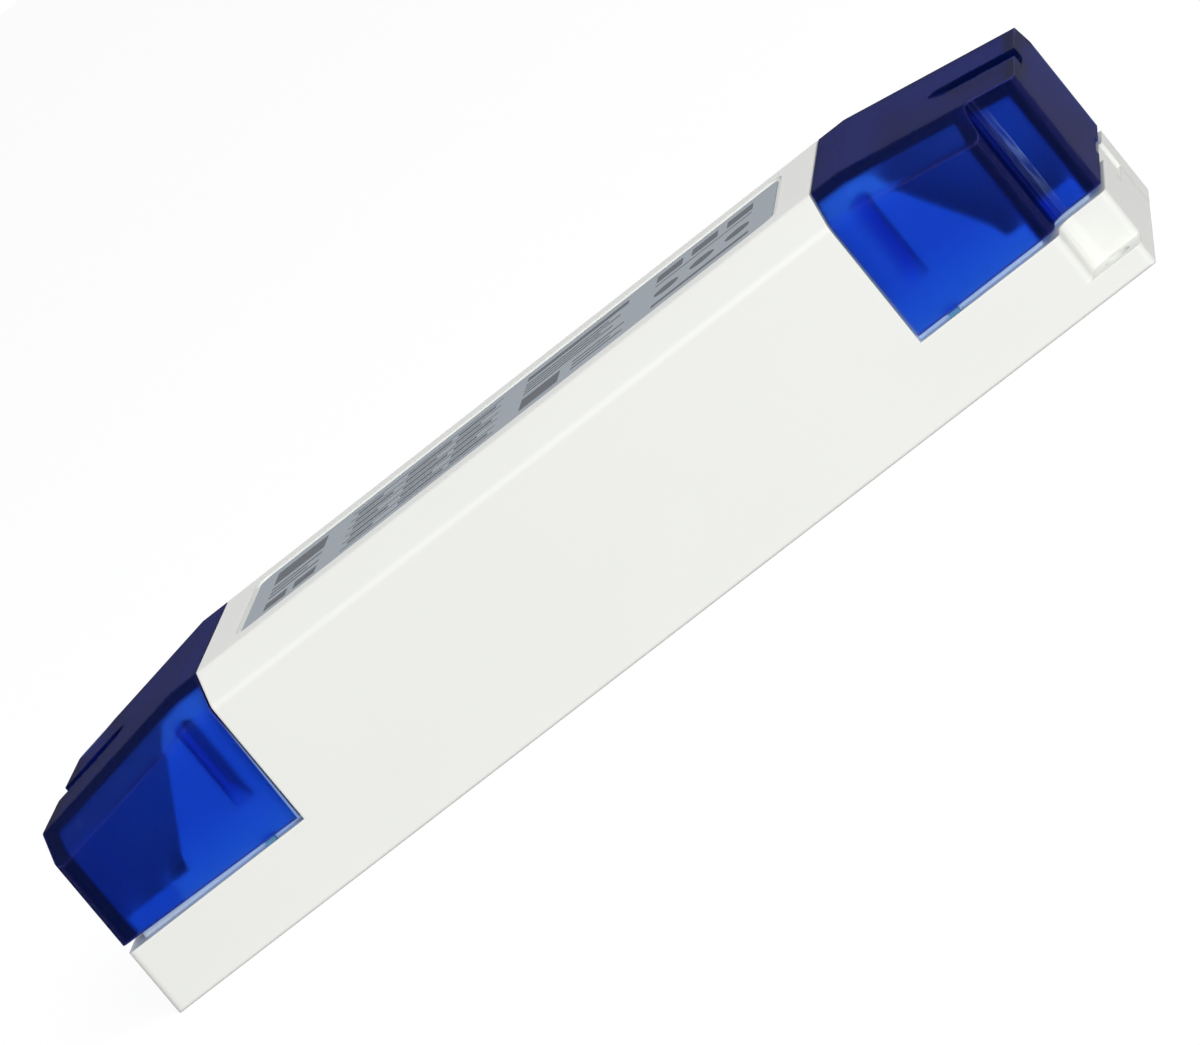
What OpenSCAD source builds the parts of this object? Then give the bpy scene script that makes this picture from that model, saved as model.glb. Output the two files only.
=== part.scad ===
// Plastic-cased LED driver with two clip-on, see-through terminal covers.
// The long side runs along X, the base stands on Z = 0 and the origin is under its middle.
// Everything at the right end (+X) is repeated at the left end by half a turn about Z.

/* [Housing] */
// overall length
body_l = 150; // [146:1:170]
// overall width
body_w = 46.6; // [45.8:0.2:52]
// overall height
body_h = 31; // [30:0.5:36]
// wall of the white moulding
wall = 2; // [1.6:0.1:2.2]
// width of each long top chamfer
chamfer_w = 5.2; // [4.2:0.1:6]
// height of each long top chamfer
chamfer_h = 3.8; // [3.2:0.1:4.6]
// softening of the long edges
edge_r = 1.2; // [0.6:0.1:1.6]
// radius of the upright corners
corner_r = 0.9; // [0.5:0.1:1.4]
// softening of the lower edges
foot_r = 0.3; // [0.3:0.1:0.9]
// step down of the chamfer's edge inside, for each mm that a shape is taken in
inner_fall = 0.2; // [0.16:0.02:0.4]

/* [Terminal bays] */
// length of each bay, from the body to the end
bay_l = 27.7; // [27:0.1:29]
// height of the white rim round a bay
rim_h = 9.6; // [9:0.1:11]
// height of the inner lip behind the cover
lip_h = 13; // [12.4:0.1:14]
// thickness of the inner lip
lip_t = 1.4; // [1.1:0.1:1.6]
// reach of the lip beside the body, at its top
cheek_top = 5.3; // [4.8:0.1:7]
// reach of the lip beside the body, at its foot
cheek_foot = 15; // [12:0.1:16]
// height where the slanted lip edge ends
cheek_z = 15; // [14.2:0.1:16]

/* [Covers] */
// wall of a cover
cover_wall = 2; // [1.6:0.1:2.2]
// gap between a cover and the body
cover_gap = 0.25; // [0.2:0.05:0.5]
// play between a cover and the lip inside it
cover_play = 0.3; // [0.2:0.05:0.5]
// level part of the cover top, beside the body
cover_flat = 4.2; // [3:0.1:6]
// fall of the cover top at the end
cover_drop = 4; // [3:0.1:5]
// gap over the right rim, beside the body
seam_right_in = 0.75; // [0.5:0.05:1]
// gap over the right rim, at the end
seam_right = 0.85; // [0.5:0.05:1.4]
// gap over the left rim, beside the body
seam_left_in = 0.6; // [0.5:0.05:1]
// gap over the left rim, at the end, where the cover rides up
seam_left = 1.15; // [0.5:0.05:1.4]
// width of the finger groove
groove_w = 6; // [4:0.5:8]
// length of the finger groove
groove_l = 11.6; // [9:0.1:14]
// depth of the finger groove
groove_d = 1.6; // [1:0.1:2]
// run of the ramp at the groove's inner end
groove_ramp = 4; // [2:0.5:5]
// thinning of a cover's wall at its lower edge, which leads it over the lip
thin_d = 0.4; // [0.2:0.05:0.6]
// height over the rim where that thinning begins
thin_h = 8; // [5:0.5:9]
// width of the inner rib at its crest
rib_w = 0.9; // [0.6:0.1:2.2]
// run of the rib's flank on the side of the body
rib_flank = 1.5; // [1.2:0.1:1.8]
// run of the rib's slanted foot
rib_foot = 2.8; // [2:0.1:4]
// height of the inner rib over the rim
rib_up = 6; // [5:0.1:8]
// depth of the inner rib
rib_d = 0.8; // [0.5:0.1:1]
// place of the rib, from the body
rib_x = 5.2; // [3.5:0.1:5.4]
// reach of the snap tongue below the cover
tongue_l = 2.8; // [2:0.1:3.2]
// width of the snap tongue
tongue_w = 1.4; // [1:0.1:2]
// thickness of the snap tongue
tongue_t = 1; // [0.8:0.1:1.2]

/* [Fixing] */
// length of each fixing notch
notch_l = 7; // [6:0.1:7.4]
// depth of each fixing notch
notch_d = 6.1; // [5.6:0.1:7]
// radius of the notch's outer corner
notch_out_r = 1; // [0.6:0.1:1.5]
// radius of the notch's inner corner
notch_in_r = 2; // [1:0.1:2.5]
// thickness of the fixing tab
tab_t = 3; // [2:0.1:4]
// fixing hole
hole_d = 3.6; // [3:0.1:4]

/* [Label] */
// gap from the label to each cover
label_end = 6.05; // [4:0.05:12]
// gap from the label to each chamfer
label_side = 5.1; // [3:0.1:7]
// label thickness
label_t = 0.15; // [0.1:0.05:0.25]
// margin of the recess round the label
label_rim = 0.7; // [0.4:0.1:1]
// depth of the recess
label_sink = 0.35; // [0.3:0.05:0.6]
// corner radius of the label
label_r = 1.4; // [0.8:0.1:2]

/* [Cable entry] */
// width of the entry
entry_w = 12; // [10:0.5:13]
// height of its sill
entry_z = 5.9; // [5.6:0.1:7]
// depth of its pocket in the end wall
entry_d = 0.6; // [0.3:0.1:1.2]
// step that the mould insert under it leaves in the wall
insert_d = 0.12; // [0.06:0.02:0.2]
// middle of the entry, from the side of the body
entry_in = 14.7; // [14.5:0.1:15.3]
// width of the slit in the cover over it
slit_w = 9; // [6:0.5:10]
// height of that slit
slit_h = 0.6; // [0.4:0.1:1]

/* [Bottom plate] */
// plate thickness
plate_t = 1.8; // [1.6:0.1:2.4]
// play round the plate
plate_play = 0.2; // [0.1:0.05:0.3]
// height of the board posts
post_h = 2.7; // [2.4:0.1:3]
// diameter of the board posts
post_d = 5; // [4:0.5:6]
// thread diameter of the base screws
screw_d = 2.4; // [2:0.1:2.8]
// head diameter of the base screws
screw_head = 4.8; // [4.4:0.1:5.2]
// length of the base screws
screw_l = 8; // [6:0.5:9]
// diameter of the screw bosses
boss_d = 6.6; // [6.4:0.1:7]
// height of the screw bosses
boss_h = 12; // [11:0.5:14]
// place of the bosses, from the bay
boss_in = 7.3; // [6.3:0.1:8.3]
// play of screws and pins in their holes
hole_play = 0.1; // [0.05:0.05:0.2]

/* [Circuit board] */
// reach of the board into each bay
board_reach = 15.7; // [15.2:0.1:16.2]
// gap from the board's edge to the outside of the body
board_side = 4.3; // [4.1:0.1:4.5]
// board thickness
board_t = 1.6; // [1:0.1:1.6]
// play between the board and what passes it
board_play = 0.4; // [0.3:0.1:0.6]

/* [Terminals] */
// length of a terminal block, along X
block_l = 10; // [9:0.5:11]
// spacing of its two poles
pole_pitch = 7.5; // [6.5:0.5:8]
// height of a terminal block
block_h = 13.5; // [10:0.5:14]
// width of a wire entry
wire_w = 3.6; // [3:0.1:4]
// diameter of a screw well
well_d = 4.4; // [4:0.1:5]
// diameter of a clamping screw
clamp_screw_d = 3.8; // [3.4:0.1:3.9]
// height of a clamping screw
clamp_screw_h = 2.4; // [2:0.1:2.8]

/* [Cable clamps] */
// length of a clamp bar, across the cable
bar_l = 20; // [19.5:0.1:20.4]
// width of a clamp bar
bar_w = 6; // [5.6:0.1:6.4]
// thickness of a clamp bar
bar_t = 3; // [2:0.1:3.4]
// spacing of its two screws
bar_pitch = 14.6; // [14:0.1:15]
// height of the saddle posts over the plate
saddle_h = 7.6; // [7:0.1:8]
// diameter of the saddle posts
saddle_d = 5; // [4.6:0.1:5.2]

/* [Mains parts] */
// diameter of the fuse
fuse_d = 8.4; // [7.5:0.1:8.6]
// height of the fuse
fuse_h = 8; // [7:0.5:9]
// diameter of the varistor disc
varistor_d = 10; // [8:0.5:10]
// thickness of the varistor disc
varistor_t = 4; // [3:0.1:4.4]
// length of the filter capacitor
xcap_l = 16; // [13:0.5:16]
// width of the filter capacitor
xcap_w = 6.5; // [6:0.1:7]
// height of the filter capacitor
xcap_h = 13; // [11:0.5:14]
// outer radius of the choke ring
ring_r = 7.8; // [7:0.1:7.9]
// inner radius of the choke ring
ring_bore = 4.2; // [4:0.1:4.6]
// height of the choke ring
ring_h = 6; // [5:0.5:7]
// thickness of the choke winding
wire_t = 1.1; // [0.8:0.1:1.2]
// length of the bridge rectifier
bridge_l = 14; // [12:0.5:14.5]
// thickness of the bridge rectifier
bridge_t = 4; // [3.5:0.1:4.4]
// height of the bridge rectifier
bridge_h = 11; // [10:0.5:12]
// diameter of the reservoir capacitor
bulk_d = 16; // [14:0.5:16]
// height of the reservoir capacitor
bulk_h = 20; // [16:0.5:20.5]

/* [Power parts] */
// thickness of a cooling plate
sink_t = 1.5; // [1.2:0.1:1.8]
// reach of its turned-over top edge
sink_lip = 2; // [1.5:0.1:2.2]
// height of a cooling plate
sink_h = 18; // [17.5:0.5:19]
// length of the primary cooling plate
sink_one_l = 24; // [18:0.5:24.5]
// length of the secondary cooling plate
sink_two_l = 14; // [12:0.5:14.4]
// gap from the secondary cooling plate to the screw boss
sink_gap = 1.3; // [0.8:0.1:1.6]
// width of a power package
pack_w = 10; // [9:0.1:10.2]
// height of a power package body
pack_h = 9; // [8:0.1:9.4]
// thickness of a power package
pack_t = 4.4; // [4:0.1:4.6]
// thickness of its metal tab
pack_tab = 1.3; // [1:0.1:1.4]
// length of its metal tab above the body
pack_ear = 6; // [5.4:0.1:6.4]
// length of the transformer core
core_l = 25; // [23:0.5:25]
// height of the transformer core
core_h = 18; // [16:0.5:18.5]
// thickness of the transformer core
core_t = 7; // [6:0.1:7.4]
// width of the core's outer legs and yokes
core_leg = 3.5; // [3:0.1:3.7]
// play between core and bobbin
core_play = 0.2; // [0.1:0.05:0.3]
// wall of the bobbin
bobbin_t = 1; // [0.8:0.1:1.1]
// height of the bobbin's pin rails
rail_h = 3; // [2.4:0.1:3]
// length of the controller chip
chip_l = 9.4; // [8.5:0.1:10]
// width of a chip body
chip_w = 6.3; // [6:0.1:6.6]
// height of a chip body
chip_h = 3.4; // [3:0.1:3.6]
// length of the optocoupler
opto_l = 4.6; // [4.4:0.1:5]
// diameter of the safety capacitor
ycap_d = 8; // [6:0.5:8.5]
// thickness of the safety capacitor
ycap_t = 3; // [2.5:0.1:4]
// diameter of the output capacitors
ocap_d = 10; // [8:0.5:10]
// gap from the core to the output capacitors
ocap_gap = 1.1; // [0.8:0.1:1.3]
// height of the output capacitors
ocap_h = 16; // [12:0.5:18]
// diameter of the output choke
drum_d = 9; // [8:0.1:9.2]
// height of the output choke
drum_h = 13; // [10:0.5:15]
// diameter of a part's lead
lead_d = 0.8; // [0.6:0.1:1]

/* [Hidden] */
$fn = 48;

half_l = body_l / 2;
half_w = body_w / 2;
bay_x = half_l - bay_l;
ledge = cover_wall + cover_play;
deep = ledge + lip_t;
ledge_z = entry_z - 0.4;
label_l = 2 * (bay_x - label_end);
label_w = body_w - 2 * (chamfer_w + label_side);
rib_z = rim_h + rib_up;
tongue_y = half_w - cover_wall / 2 - 0.5;
rib_top = body_h - chamfer_h + 0.6;
boss_x = bay_x - boss_in;
board_l = 2 * (bay_x + board_reach);
board_w = body_w - 2 * board_side;
entry_y = half_w - entry_in;
bend_x = bay_x + cover_flat;
fall = atan(cover_drop / (half_l - bend_x));
side_free = 0.05;
notch_x = half_l - notch_l;
tab_in = notch_out_r + 0.3;
hole_x = half_l - notch_l / 2;
hole_y = half_w - notch_d / 2;
board_z = plate_t + post_h;
top_z = board_z + board_t;
roof_z = body_h - wall;
boss_y = half_w - wall - boss_d / 2 + 0.25;
block_x = bay_x + 3 + block_l / 2;
block_w = 2 * pole_pitch + 1;
saddle_x = (half_l - deep + board_l / 2) / 2;
saddle_z = plate_t + saddle_h;
post_x = 20;
post_y = board_w / 2 - 7;

// the board parts are sized for these clear lengths, and go with the body from there
drawn_x = 47.3;
drawn_y = 38;
drawn_z = 22.9;
fit_x = bay_x / drawn_x;
fit_y = board_w / drawn_y;
fit_z = (roof_z - top_z) / drawn_z;
function fx(v) = v * fit_x;
function fy(v) = v * fit_y;
function fz(v) = v * fit_z;
function fr(v) = v * min(fit_x, fit_y);

// places of the board parts
fuse_y = 6;
varistor_y = -6;
xcap_x = -31;
xcap_y = 9;
ring_x = -30;
ring_y = -8.6;
bridge_x = -17;
bridge_y = 15;
bulk_x = -11.7;
bulk_y = 2.5;
sink_y = board_w / 2 - 1 - sink_t;
sink_one_x = fx(6);
sink_two_x = boss_x - boss_d / 2 - sink_gap - fx(sink_two_l) / 2;
pack_one_x = 0;
pack_z = top_z + fz(3.5);
ear_z = pack_z + fz(pack_h + pack_ear / 2);
chip_x = -12;
chip_y = -12.8;
opto_x = 26;
opto_y = -15;
core_x = fx(10);
core_y = fy(-5);
core_z = top_z + fz(rail_h);
core_top = fz(core_h);
core_w = fx(core_t);
leg_w = fx(core_leg);
window = (fx(core_l) - 2 * leg_w - core_w) / 2;
coil = core_w + 2 * window - 5 * core_play;
ycap_x = 13;
ycap_y = 8.6;
ocap_x = core_x + (fx(core_l) + fr(ocap_d)) / 2 + ocap_gap;
ocap_y = [-5.6, 5.8];
drum_x = bay_x - wall - 1.3 - fr(drum_d) / 2;
drum_y = -3;

// small vector helpers
function unit(v) = v / norm(v);
function turn(a) = a > 180 ? a - 360 : a < -180 ? a + 360 : a;

// points of one rounded corner between two straight edges
function corner(a, b, c, r, n) =
    let (u = unit(a - b), v = unit(c - b),
         h = acos(max(-1, min(1, u * v))) / 2,
         m = b + unit(u + v) * r / sin(h),
         s = b + u * r / tan(h) - m,
         e = b + v * r / tan(h) - m,
         a0 = atan2(s[1], s[0]),
         d = turn(atan2(e[1], e[0]) - a0))
    [for (k = [0 : n]) m + r * [cos(a0 + d * k / n), sin(a0 + d * k / n)]];

// closed outline whose corners carry their own radius as third value
function soft(p, n = 4) =
    [for (i = [0 : len(p) - 1])
        let (q = p[i], w = p[(i + len(p) - 1) % len(p)], e = p[(i + 1) % len(p)])
        each q[2] > 0 ? corner([w[0], w[1]], [q[0], q[1]], [e[0], e[1]], q[2], n) : [[q[0], q[1]]]];

// cross-section of the body, taken in by d on every side but the base; g lets its sides out
function section_z(d) = body_h - chamfer_h - d * inner_fall;
function section_y(d) = half_w - d - (chamfer_h - d * (1 - inner_fall)) * chamfer_w / chamfer_h;
function section(d, g = 0) =
    let (r = max(edge_r - d / 2, 0.4), w = half_w - d + g, z = section_z(d) - g * chamfer_h / chamfer_w)
    soft([[-w, -5, 0], [w, -5, 0], [w, z, r],
          [section_y(d), body_h - d, r], [-section_y(d), body_h - d, r], [-w, z, r]]);

// plan of the body with its two diagonal notches, taken in by d
function plan(d) =
    let (o = max(notch_out_r - d / 2, 0.4), c = max(corner_r - d / 3, 0.4), i = notch_in_r,
         y = -half_w + notch_d + d, h = half_l - d, w = half_w - d, n = notch_x - d)
    soft([[n, -w, o], [n, y, i], [h, y, c], [h, w, c], [-n, w, o], [-n, -y, i], [-h, -y, c], [-h, -w, c]]);

// the same part at both ends, by half a turn
module both_ends() {
    children();
    rotate([0, 0, 180]) children();
}

// bar with the body's cross-section
module section_bar(d, x0, x1, g = 0) {
    translate([x0, 0, 0])
        rotate([90, 0, 90])
            linear_extrude(x1 - x0)
                polygon(section(d, g));
}

// block with the body's plan
module plan_block(d, z0, z1) {
    translate([0, 0, z0])
        linear_extrude(z1 - z0)
            polygon(plan(d));
}

// frame of the falling cover top: X runs down the slope, Z stands on it
module on_slope() {
    translate([bend_x, 0, body_h])
        rotate([0, fall, 0])
            children();
}

// shape of the right end over the bay, taken in by d
module end_shape(d) {
    intersection() {
        section_bar(d, bay_x - 1, half_l + 1);
        on_slope()
            translate([0, 0, -body_h])
                section_bar(d, -bay_l / 2, 1.3 * bay_l, side_free);
        plan_block(d, 3, body_h + 1);
    }
}

// side view cut along Y
module side_cut(p) {
    translate([0, half_w + 5, 0])
        rotate([90, 0, 0])
            linear_extrude(body_w + 10)
                polygon(p);
}

// outline, outside a lower edge at w from the middle, that takes the edge off by two slants
function foot(w) =
    let (r = foot_r)
    [[w + 0.15 * r, 1.36 * r], [w - 0.29 * r, 0.29 * r], [w - 1.36 * r, -0.15 * r],
     [w - 1.36 * r, -1], [w + 1, -1], [w + 1, 1.36 * r]];

// soft lower edges of the right end and of one side
module foot_edges() {
    side_cut(foot(half_l));
    translate([-half_l - 5, 0, 0])
        rotate([90, 0, 90])
            linear_extrude(body_l + 10)
                polygon(foot(half_w));
}

// solid of the lip inside a cover, high beside the body and low round the bay
module lip_block() {
    intersection() {
        end_shape(ledge);
        side_cut([[bay_x - 0.6, rim_h - 1], [half_l, rim_h - 1], [half_l, lip_h],
                  [bay_x + cheek_foot + 0.5, lip_h], [bay_x + cheek_foot, cheek_z],
                  [bay_x + cheek_top, body_h], [bay_x - 0.6, body_h]]);
    }
}

// plan of the rib inside a cover's side, let out by g all round
module rib_outline(g) {
    translate([bay_x + rib_x, half_w - cover_wall - rib_d])
        polygon([[-rib_w / 2 - g, -g], [rib_w / 2 + g, -g], [rib_w / 2 + g, rib_d + 0.5],
                 [-rib_w / 2 - g - rib_flank * (rib_d + 0.5 + g) / rib_d, rib_d + 0.5]]);
}

// prism along the bay from an outline seen from the end, at both sides
module along_sides(x0, x1) {
    for (s = [0, 1])
        mirror([0, s, 0])
            translate([x0, 0, 0])
                rotate([90, 0, 90])
                    linear_extrude(x1 - x0)
                        children();
}

// space inside the lip, with the grooves that the cover ribs slide down
module bay_space() {
    intersection() {
        end_shape(deep);
        translate([bay_x, -half_w, ledge_z - 0.5]) cube([bay_l, body_w, body_h]);
    }
    for (s = [0, 1])
        mirror([0, s, 0])
            translate([0, 0, rib_z])
                linear_extrude(rib_top - rib_z + cover_play)
                    rib_outline(cover_play);
}

// cable entry: a shallow panel in the end wall, closed until it is broken out
module cable_pocket() {
    translate([half_l - entry_d, entry_y - entry_w / 2, entry_z])
        cube([entry_d + 1, entry_w, rim_h]);
    translate([half_l - insert_d, entry_y - entry_w / 2, -1])
        cube([insert_d + 1, entry_w, entry_z + 2]);
}

// pockets that take the snap tongues of a cover
module tongue_pockets() {
    for (s = [-1, 1])
        translate([bay_x + rib_x, s * tongue_y, rim_h - tongue_l])
            translate([-tongue_w / 2 - cover_play, -tongue_t / 2 - cover_play, 0])
                cube([tongue_w + 2 * cover_play, tongue_t + 2 * cover_play, tongue_l + 1]);
}

// white moulding: body, bays, fixing tabs and screw bosses
module housing() {
    color([0.93, 0.93, 0.91])
    difference() {
        union() {
            difference() {
                union() {
                    intersection() {
                        section_bar(0, -bay_x, bay_x);
                        translate([-half_l, -half_w - 1, 0]) cube([body_l, body_w + 2, body_h + 1]);
                    }
                    plan_block(0, 0, rim_h);
                    both_ends() lip_block();
                }
                section_bar(wall, -bay_x + wall, bay_x - wall);
                plan_block(wall, -1, ledge_z);
                both_ends() bay_space();
                translate([-bay_x - 1, -board_w / 2 - board_play, ledge_z - 1])
                    cube([2 * bay_x + 2, board_w + 2 * board_play, top_z + board_play - ledge_z + 1]);
            }
            both_ends()
                translate([notch_x - tab_in, -half_w, 0])
                    linear_extrude(tab_t)
                        polygon(soft([[0, 0, 0], [notch_l + tab_in, 0, corner_r],
                                      [notch_l + tab_in, notch_d + 0.5, 0], [0, notch_d + 0.5, 0]]));
            for (x = [-1, 1], y = [-1, 1])
                translate([x * boss_x, y * boss_y, plate_t])
                    cylinder(d = boss_d, h = boss_h - plate_t);
        }
        both_ends() foot_edges();
        both_ends() cable_pocket();
        both_ends() tongue_pockets();
        both_ends()
            translate([hole_x, -hole_y, -1])
                cylinder(d = hole_d, h = tab_t + 2);
        for (x = [-1, 1], y = [-1, 1])
            translate([x * boss_x, y * boss_y, 0])
                cylinder(d = screw_d + 2 * hole_play, h = screw_l + 1);
        translate([0, 0, body_h - label_sink])
            linear_extrude(2)
                round_rect(label_l + 2 * label_rim, label_w + 2 * label_rim, label_r + label_rim);
    }
}

// flat rectangle with round corners, about its middle
module round_rect(l, w, r) {
    polygon(soft([[-l / 2, -w / 2, r], [l / 2, -w / 2, r], [l / 2, w / 2, r], [-l / 2, w / 2, r]], 6));
}

// silver sticker at the floor of the top recess
module rating_label() {
    color([0.62, 0.66, 0.7])
    translate([0, 0, body_h - label_sink])
        linear_extrude(label_t)
            round_rect(label_l, label_w, label_r);
}

// groove that a finger or a blade finds to lift the cover
module finger_groove(grow, depth) {
    on_slope()
        intersection() {
            translate([bay_l - cover_flat - groove_l, 0, -depth])
                linear_extrude(depth + 3)
                    union() {
                        translate([groove_w / 2, 0]) circle(d = groove_w + 2 * grow);
                        translate([groove_w / 2, -groove_w / 2 - grow]) square([bay_l, groove_w + 2 * grow]);
                    }
            translate([bay_l - cover_flat - groove_l, half_w, 0])
                rotate([90, 0, 0])
                    linear_extrude(body_w)
                        polygon([[-grow, 3], [-grow, grow / 4], [groove_ramp, -depth],
                                 [bay_l, -depth], [bay_l, 3]]);
        }
}

// wedges that thin the sides of a cover towards its lower edge
module lead_in() {
    along_sides(bay_x - 1, notch_x - cover_wall - 0.4)
        translate([half_w - cover_wall, rim_h])
            polygon([[-0.5, 0], [thin_d, 0], [-0.25 * thin_d, 1.25 * thin_h], [-0.5, 1.25 * thin_h]]);
}

// one cover at the right end; near and far are its gaps over the rim, beside the body and at the end
module terminal_cover(near, far) {
    difference() {
        intersection() {
            union() {
                difference() {
                    end_shape(0);
                    end_shape(cover_wall);
                    lead_in();
                }
                intersection() {
                    for (s = [0, 1])
                        mirror([0, s, 0])
                            translate([0, 0, rib_z])
                                linear_extrude(rib_top - rib_z)
                                    rib_outline(0);
                    end_shape(cover_wall / 2);
                    along_sides(bay_x, half_l)
                        translate([half_w - cover_wall, rib_z])
                            polygon([[-rib_d - 1, rib_foot * (1 + 1 / rib_d)], [1.5, -rib_foot * 1.5 / rib_d],
                                     [1.5, body_h], [-rib_d - 1, body_h]]);
                }
                intersection() {
                    finger_groove(cover_wall * 0.7, groove_d + cover_wall * 0.7);
                    end_shape(cover_wall / 2);
                }
            }
            side_cut([[bay_x + cover_gap, rim_h + near], [half_l + 1, rim_h + far],
                      [half_l + 1, body_h + 1], [bay_x + cover_gap, body_h + 1]]);
        }
        finger_groove(0, groove_d);
        translate([half_l - 2 * cover_wall, entry_y - 1.4 - slit_w / 2, 0])
            cube([3 * cover_wall, slit_w, rim_h + far + slit_h]);
    }
    for (s = [-1, 1])
        translate([bay_x + rib_x - tongue_w / 2, s * tongue_y - tongue_t / 2, rim_h - tongue_l + 0.4])
            cube([tongue_w, tongue_t, tongue_l + near + 0.1]);
}

module terminal_cover_right() {
    color([0.07, 0.2, 0.75, 0.8])
    terminal_cover(seam_right_in, seam_right);
}

module terminal_cover_left() {
    color([0.07, 0.2, 0.75, 0.8])
    rotate([0, 0, 180])
        terminal_cover(seam_left_in, seam_left);
}

// floor of the driver, with board posts and cable saddles
module bottom_plate() {
    color([0.88, 0.88, 0.86])
    difference() {
        union() {
            plan_block(wall + plate_play, 0, plate_t);
            for (x = [-1, 1], y = [-1, 1])
                translate([x * (bay_x + 4), y * post_y, 0])
                    cylinder(d = post_d, h = board_z);
            for (x = [-1, 1])
                translate([x * fx(post_x), 0, 0])
                    cylinder(d = post_d, h = board_z);
            both_ends() {
                for (s = [-1, 1])
                    translate([saddle_x, entry_y + s * bar_pitch / 2, 0])
                        cylinder(d = saddle_d, h = saddle_z);
                translate([saddle_x - 1.5, entry_y - 4, plate_t / 2])
                    cube([3, 8, entry_z - plate_t / 2]);
            }
        }
        for (x = [-1, 1], y = [-1, 1])
            translate([x * boss_x, y * boss_y, -0.01]) {
                cylinder(d1 = screw_head + 2 * hole_play, d2 = screw_d + 2 * hole_play,
                         h = (screw_head - screw_d) / 2 + 0.01);
                cylinder(d = screw_d + 2 * hole_play, h = plate_t + 1);
            }
        both_ends()
            for (s = [-1, 1])
                translate([saddle_x, entry_y + s * bar_pitch / 2, plate_t])
                    cylinder(d = screw_d + 2 * hole_play, h = saddle_z);
    }
}

// countersunk screws from below
module base_screws() {
    color([0.7, 0.7, 0.72])
    for (x = [-1, 1], y = [-1, 1])
        translate([x * boss_x, y * boss_y, 0])
            difference() {
                union() {
                    cylinder(d1 = screw_head, d2 = screw_d, h = (screw_head - screw_d) / 2);
                    cylinder(d = screw_d, h = screw_l);
                }
                for (a = [0, 90])
                    rotate([0, 0, a])
                        translate([-screw_head / 3.2, -0.3, -1])
                            cube([screw_head / 1.6, 0.6, 1.6]);
            }
}

// board that carries the circuit, cut round the screw bosses
module circuit_board() {
    color([0.1, 0.35, 0.16])
    difference() {
        translate([-board_l / 2, -board_w / 2, board_z])
            cube([board_l, board_w, board_t]);
        for (x = [-1, 1], y = [-1, 1])
            translate([x * boss_x, y * boss_y, 0])
                cylinder(d = boss_d + 2 * board_play, h = top_z + 1);
    }
}

// two-pole screw terminal, its wire side to the right
module terminal_block() {
    difference() {
        translate([block_x, entry_y + block_w / 2, top_z])
            rotate([90, 0, 0])
                linear_extrude(block_w)
                    polygon([[-block_l / 2, 0], [block_l / 2, 0], [block_l / 2, block_h * 0.62],
                             [block_l * 0.3, block_h], [-block_l * 0.34, block_h],
                             [-block_l / 2, block_h * 0.8]]);
        for (s = [-1, 1]) {
            translate([block_x, entry_y + s * pole_pitch / 2, top_z + block_h * 0.45])
                cylinder(d = well_d, h = block_h);
            translate([block_x - 1, entry_y + s * pole_pitch / 2 - wire_w / 2, top_z + 1.2])
                cube([block_l, wire_w, wire_w]);
        }
    }
}

module output_terminal() {
    color([0.3, 0.34, 0.38])
    terminal_block();
}

module input_terminal() {
    color([0.3, 0.34, 0.38])
    rotate([0, 0, 180])
        terminal_block();
}

// slotted screw with a round head; s is the slot width
module pan_screw(head, head_h, d, l, s) {
    difference() {
        union() {
            cylinder(d = head, h = head_h);
            translate([0, 0, -l]) cylinder(d = d, h = l + head_h / 2);
        }
        translate([-head, -s / 2, head_h * 0.45]) cube([2 * head, s, head_h]);
    }
}

// clamping screws of both terminal blocks
module terminal_screws() {
    color([0.75, 0.72, 0.6])
    both_ends()
        for (s = [-1, 1])
            translate([block_x, entry_y + s * pole_pitch / 2, top_z + block_h * 0.45])
                cylinder_screw();
}

module cylinder_screw() {
    difference() {
        cylinder(d = clamp_screw_d, h = clamp_screw_h);
        translate([-clamp_screw_d, -clamp_screw_d * 0.09, clamp_screw_h * 0.63])
            cube([2 * clamp_screw_d, clamp_screw_d * 0.18, clamp_screw_h]);
    }
}

// bar that presses the cable on its saddle
module cable_clamp() {
    difference() {
        translate([saddle_x, entry_y, saddle_z])
            linear_extrude(bar_t)
                round_rect(bar_w, bar_l, bar_w * 0.3);
        for (s = [-1, 1])
            translate([saddle_x, entry_y + s * bar_pitch / 2, saddle_z - 1])
                cylinder(d = screw_d + 0.6, h = bar_t + 2);
        translate([saddle_x - bar_w, entry_y, saddle_z - 2.2])
            rotate([0, 90, 0])
                cylinder(d = bar_pitch * 0.42, h = 2 * bar_w);
    }
}

module cable_clamp_right() {
    color([0.85, 0.85, 0.83])
    cable_clamp();
}

module cable_clamp_left() {
    color([0.85, 0.85, 0.83])
    rotate([0, 0, 180])
        cable_clamp();
}

// screws of both clamp bars
module clamp_screws() {
    color([0.7, 0.7, 0.72])
    both_ends()
        for (s = [-1, 1])
            translate([saddle_x, entry_y + s * bar_pitch / 2, saddle_z + bar_t])
                pan_screw(screw_head, 1.8, screw_d, bar_t + saddle_h - 1.5, 0.7);
}

// upright round part with a small rim radius, such as a fuse or a capacitor can
module can(d, h, r) {
    rotate_extrude()
        polygon([[0, 0], [d / 2 - r, 0], [d / 2, r], [d / 2, h - r], [d / 2 - r, h], [0, h]]);
}

// round disc part on two leads, its axis along Y
module disc_part(d, t) {
    translate([0, t / 2, d / 2 + 1.2])
        rotate([90, 0, 0])
            rotate_extrude()
                polygon([[0, 0], [d / 2 - t * 0.3, 0], [d / 2, t * 0.3], [d / 2, t * 0.7],
                         [d / 2 - t * 0.3, t], [0, t]]);
    for (s = [-1, 1])
        translate([s * d * 0.25, 0, 0])
            cylinder(d = lead_d, h = d / 2 + 1);
}

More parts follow.
